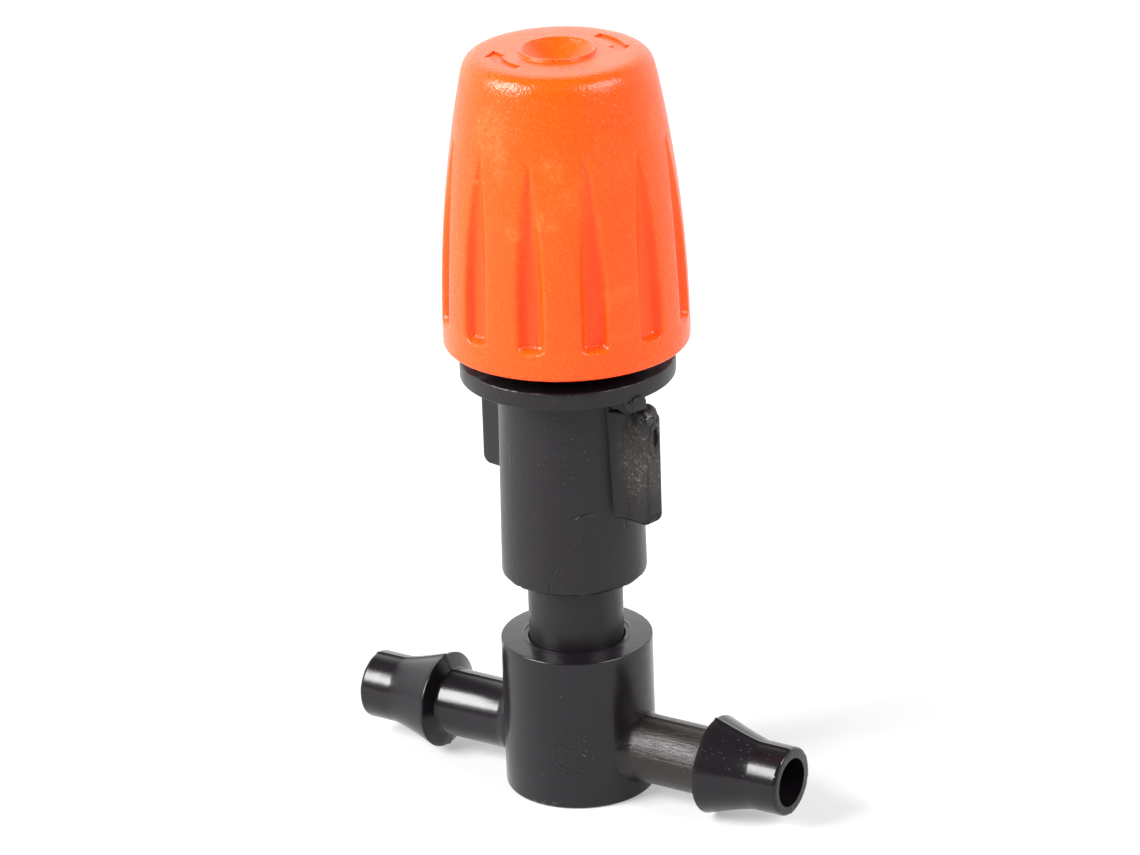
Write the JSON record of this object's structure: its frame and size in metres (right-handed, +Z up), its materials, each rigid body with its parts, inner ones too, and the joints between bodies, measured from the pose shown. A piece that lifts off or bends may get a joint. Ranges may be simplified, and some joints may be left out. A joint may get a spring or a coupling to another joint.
{
  "type": "adjustable drip emitter nozzle on a barbed tee",
  "caption": "Adjustable mist and drip nozzle with a fluted screw cap, grip wings and a flange, plugged into the round socket of a barbed tee for small irrigation tube.",
  "frame": {"origin": "centre of the tee barrel's flat base, on the nozzle's axis", "axes": "+Z up along the nozzle's axis towards the cap, X along the tee's two arms"},
  "size_m": [0.031, 0.0154, 0.0489],
  "materials": {
    "tee_plastic": "satin black moulded plastic, shiny on the shelf, with drag marks",
    "nozzle_plastic": "matt black moulded plastic with flow marks and scuffs",
    "core_plastic": "smooth dark grey plastic",
    "ring_rubber": "soft black rubber",
    "cap_plastic": "fine-grained satin orange plastic"
  },
  "bodies": {
    "tee": {"tee_connector": "tee_plastic"},
    "core": {"swirl_core": "core_plastic"},
    "nozzle": {"nozzle_body": "nozzle_plastic"},
    "ring": {"seal_ring": "ring_rubber"},
    "cap": {"adjuster_cap": "cap_plastic"}
  },
  "joints": [
    {"name": "nozzle_pull", "type": "slide", "parent": "tee", "child": "core", "axis": [0, 0, 1], "range_m": [0, 0.008]},
    {"name": "nozzle_swivel", "type": "hinge", "parent": "core", "child": "nozzle", "pos_m": [0, 0, 0.01], "axis": [0, 0, 1], "continuous": true},
    {"name": "cap_lift", "type": "slide", "parent": "nozzle", "child": "ring", "axis": [0, 0, 1], "range_m": [-0.001, 0.0055]},
    {"name": "cap_turn", "type": "hinge", "parent": "ring", "child": "cap", "pos_m": [0, 0, 0.04], "axis": [0, 0, 1], "range_deg": [-240, 1320]}
  ],
  "couplings": [
    {"joint": "cap_turn", "follows": "cap_lift", "rad_per_m": 4188.8}
  ]
}
